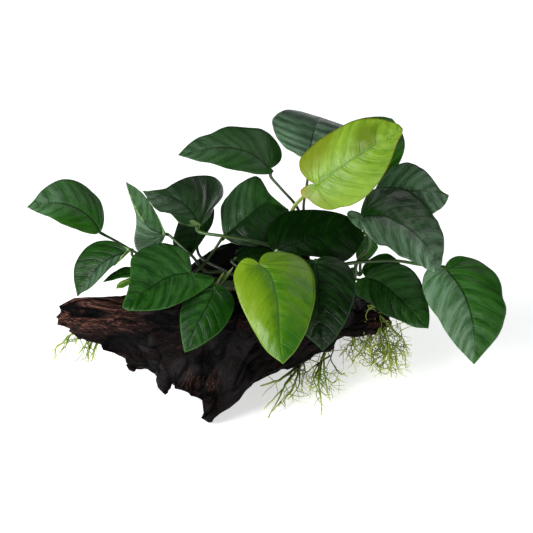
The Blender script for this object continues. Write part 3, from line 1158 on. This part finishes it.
def pale_patches(colour, pleats, out):
    """The pale leaf is yellower at its lobes and has an olive patch along a few side veins."""
    lobe = band(pleats, 4.6, 2.6) * band(out, 0.05, 0.7)
    low_lobe = band(pleats, 3.2, 1.4) * band(out, -0.05, -0.8)
    colour = blend(lobe.at_least(low_lobe * 0.7) * 0.75, colour, (0.125, 0.155, 0.001))
    along = band(pleats, 5.0, 6.2) * band(pleats, 7.15, 7.02)
    inside = along * band(out, 0.0, 0.02) * band(out, 0.95, 0.7)
    return blend(inside * 0.85, colour, (0.075, 0.125, 0.0006))


def bright_patches(colour, pleats, out):
    """The bright leaf is yellower in its shaded half and lobes and deep green toward the other edge."""
    yellow = band(out, 0.1, -0.9) * band(pleats, 8.4, 4.0)
    lobe = band(pleats, 4.0, 2.0) * 0.35
    colour = blend(yellow.at_least(lobe) * 0.8, colour, (0.15, 0.24, 0.005))
    green = band(out, -0.2, 0.6) * band(pleats, 5.0, 7.2)
    return blend(green * 0.85, colour, (0.014, 0.085, 0.0003))


def underside_material():
    """A leaf's lower face: paler, matter, with raised veins."""
    material, tree, shader = start_material("leaf_underside")
    pleats, _, width = parts_of(stored(tree, "leaf"))
    tint = parts_of(stored(tree, "grow"))[1]
    crest = pleats.math("PINGPONG", 0.5) * 2.0
    tone = tint + (clouds(tree, 60.0) - 0.5) * 0.8
    colour = blend(tone, (0.035, 0.095, 0.03), (0.13, 0.26, 0.07))
    vein = band(crest, 0.16, 0.0) * band(width, 0.5, 2.5)
    colour = blend(vein * 0.5, colour, (0.16, 0.28, 0.1))
    colour = blend(band(width, 1.6, 0.7), colour, (0.18, 0.29, 0.09))
    finish_material(shader, colour, 0.55, vein + clouds(tree, 300.0), 0.3, 0.0004)
    return material


def stalk_material(name, base, middle, end, rough):
    """A stalk, shoot or root: its colour changes along it, and is palest where its tint is over 1."""
    material, tree, shader = start_material(name)
    along, tint, _ = parts_of(stored(tree, "grow"))
    colour = blend(band(along, 0.0, 0.45), base, middle)
    colour = blend(band(along, 0.6, 1.0), colour, end)
    tone = tint + (clouds(tree, 260.0) - 0.5) * 1.2
    darker = blend(0.66, colour, (0.006, 0.008, 0.003))
    colour = blend(tone.clipped(), darker, colour)
    colour = blend(band(tint, 1.0, 1.6), colour, (0.2, 0.27, 0.03))
    finish_material(shader, colour, rough, clouds(tree, 700.0, 3.0), 0.35, 0.0003)
    return material


def rhizome_material():
    """The creeping stem: dull green with brown rings and scars."""
    material, tree, shader = start_material("creeping_stem_skin")
    along = parts_of(stored(tree, "grow"))[0]
    ring = (along * float(RHIZOME_RINGS)).math("FRACT")
    colour = blend(clouds(tree, 90.0), (0.018, 0.03, 0.008), (0.07, 0.1, 0.025))
    colour = blend(band(ring, 0.16, 0.03), colour, (0.03, 0.016, 0.008))
    colour = blend(band(clouds(tree, 260.0, 2.0), 0.58, 0.7), colour, (0.09, 0.06, 0.025))
    finish_material(shader, colour, 0.5, clouds(tree, 320.0), 0.5, 0.0006)
    return material


def wood_material():
    """Waterlogged driftwood: near black, redder on raised grain, pale in a few worn places."""
    material, tree, shader = start_material("driftwood_grain")
    share, depth, smoothness = parts_of(stored(tree, "worn"))
    ways = []
    for name in ("grain_left", "grain_right"):
        inputs = {0: stored(tree, name), 1: GRAIN_STRETCH}
        ways.append(Mark(add_node(tree, "ShaderNodeVectorMath", inputs, operation="MULTIPLY").outputs[0]))

    def along_grain(scale):
        left, right = (clouds(tree, scale, 3.0, way, 0.6) for way in ways)
        return left + share * (right - left)

    streak, fibre = along_grain(0.8), along_grain(1.8)
    place = parts_of(Mark(add_node(tree, "ShaderNodeTexCoord").outputs["Object"]))
    left_end = band(place[0], -0.085, -0.15) * band(place[2], 0.05, 0.075)
    colour = blend(band(streak, 0.42, 0.62), (0.0006, 0.0003, 0.0003), (0.0026, 0.0013, 0.0012))
    colour = blend(band(fibre, 0.52, 0.64), colour, (0.012, 0.0045, 0.0034))
    colour = blend(smoothness * 0.8, colour, (0.0115, 0.0102, 0.0102))
    red = (band(clouds(tree, 24.0, 3.0), 0.58, 0.7) * 0.25 + left_end).clipped()
    ridge = blend(band(fibre, 0.46, 0.62), (0.03, 0.012, 0.009), (0.21, 0.09, 0.065))
    ridge = blend(band(streak, 0.38, 0.5), (0.006, 0.003, 0.0026), ridge)
    colour = blend(red * 0.8, colour, ridge)
    colour = blend(band(depth, 0.35, 0.85), colour, (0.0006, 0.0004, 0.0004))
    wet = band(clouds(tree, 900.0, 2.0), 0.66, 0.72)
    rough = (fibre * 0.4 + 0.36 - wet * 0.35).clipped()
    height = fibre + streak + clouds(tree, 600.0, 3.0) * 0.25
    finish_material(shader, colour, rough, height, 1.0, 0.0022)
    shader.inputs["Specular IOR Level"].default_value = 0.06
    return material


def add_light(name, place, aim, size, power, colour=(1.0, 1.0, 1.0)):
    light = bpy.data.lights.new(name, "AREA")
    light.shape = "RECTANGLE"
    light.size, light.size_y = size
    light.energy = power
    light.color = colour
    lamp = bpy.data.objects.new(name, light)
    lamp.location = place
    lamp.rotation_euler = (Vector(aim) - Vector(place)).to_track_quat("-Z", "Y").to_euler()
    bpy.context.scene.collection.objects.link(lamp)


def set_floor():
    """A plain white floor, which glows a little so that it stays white."""
    half, far, near = 5.0, 9.0, 5.0
    mesh = bpy.data.meshes.new("floor")
    corners = [(-half, -near, 0), (half, -near, 0), (half, far, 0), (-half, far, 0)]
    mesh.from_pydata(corners, [], [(0, 1, 2, 3)])
    white, _, shader = start_material("white_floor")
    shader.inputs["Base Color"].default_value = (0.9, 0.9, 0.9, 1.0)
    shader.inputs["Roughness"].default_value = 0.9
    shader.inputs["Emission Color"].default_value = (1.0, 1.0, 1.0, 1.0)
    shader.inputs["Emission Strength"].default_value = 0.6
    shader.inputs["Specular IOR Level"].default_value = 0.0
    mesh.materials.append(white)
    floor = bpy.data.objects.new("floor", mesh)
    bpy.context.scene.collection.objects.link(floor)


def set_lights():
    """A dim room, a key lamp low at the left, and weaker ones behind and in front."""
    world = bpy.data.worlds.new("soft_room")
    bpy.context.scene.world = world
    world.use_nodes = True
    world.node_tree.nodes["Background"].inputs["Color"].default_value = (0.9, 0.95, 1.0, 1.0)
    world.node_tree.nodes["Background"].inputs["Strength"].default_value = 0.1
    add_light("key_panel", (-1.55, -0.95, 0.9), (0, 0, 0.12), (1.3, 1.1), 62.0, (0.97, 0.98, 1.0))
    add_light("rear_panel", (0.95, 0.55, 1.5), (0, 0, 0.1), (1.1, 0.9), 6.0)
    add_light("front_panel", (0.6, -1.9, 0.2), (0, 0, 0.12), (1.2, 0.4), 22.0, (1.0, 0.99, 0.96))


def set_camera():
    """The camera, where the view was taken."""
    camera = bpy.data.cameras.new("camera")
    view = bpy.data.objects.new("camera", camera)
    middle = (AIM - CENTRE) * METRES
    view.location = middle - VIEW_DISTANCE * METRES * SIGHT
    view.rotation_euler = (math.radians(90) - VIEW_RISE, 0, 0)
    camera.sensor_width = 36.0
    camera.lens = camera.sensor_width * VIEW_DISTANCE / (SHEET_SQUARES * SQUARE)
    camera.clip_end = 50.0
    bpy.context.scene.collection.objects.link(view)
    bpy.context.scene.camera = view
    bpy.context.scene.view_settings.view_transform = "Standard"


def upper_materials():
    """The leaves' upper faces by name: deep, light, rib and edge colours, shine, gloss and specks."""
    dark_rib, dark_edge = (0.001, 0.006, 0.0006), (0.015, 0.06, 0.008)
    return {
        "dark": leaf_material("dark_leaf_face", (0.0012, 0.008, 0.0006), (0.011, 0.055, 0.005),
                              dark_rib, dark_edge, 0.3, 0.15),
        "shaded": leaf_material("shaded_leaf_face", (0.0008, 0.007, 0.0003), (0.005, 0.03, 0.0012),
                                (0.0008, 0.005, 0.0004), (0.008, 0.035, 0.003), 0.4, 0.05),
        "waxy": leaf_material("waxy_leaf_face", (0.0015, 0.012, 0.001), (0.012, 0.06, 0.006),
                              dark_rib, dark_edge, 0.28, 0.26),
        "mid": leaf_material("green_leaf_face", (0.003, 0.024, 0.001), (0.019, 0.1, 0.004),
                             (0.002, 0.014, 0.001), (0.025, 0.1, 0.008), 0.3, 0.13, 0.5),
        "bright": leaf_material("bright_leaf_face", (0.014, 0.085, 0.0004), (0.08, 0.18, 0.003),
                                (0.02, 0.08, 0.008), (0.13, 0.23, 0.01), 0.34, 0.35, 0.0, bright_patches),
        "pale": leaf_material("pale_leaf_face", (0.06, 0.15, 0.001), (0.19, 0.3, 0.02),
                              (0.05, 0.13, 0.02), (0.2, 0.16, 0.008), 0.4, 0.3, 0.4, pale_patches),
    }


def dress_plant():
    """Every leaf, its stalk, the creeping stem, the shoots and the roots."""
    upper = upper_materials()
    under = underside_material()
    skins = dict(
        stalk=((0.025, 0.05, 0.004), (0.02, 0.06, 0.004), (0.045, 0.13, 0.009), 0.35),
        shoot=((0.03, 0.09, 0.008), (0.11, 0.24, 0.012), (0.24, 0.26, 0.02), 0.38),
        root=((0.05, 0.07, 0.008), (0.2, 0.31, 0.015), (0.6, 0.65, 0.12), 0.45),
    )
    stalk, shoot, root = (stalk_material(name + "_skin", *look) for name, look in skins.items())
    for number, leaf in enumerate(LEAVES):
        leaf.update({**PLAIN_LOOK, **LOOKS[leaf["name"]]}, seed=100 + 7 * number)
        make_blade(leaf, upper[leaf.get("skin", leaf["colour"])], under)
    for leaf in LEAVES:
        make_stalk(leaf, stalk)
    make_rhizome(rhizome_material())
    make_shoots(shoot)
    for name, bunch in ROOTS.items():
        make_root_bunch(name, bunch, root)


def main():
    dress_plant()
    make_wood(wood_material())
    set_floor()
    set_lights()
    set_camera()


main()
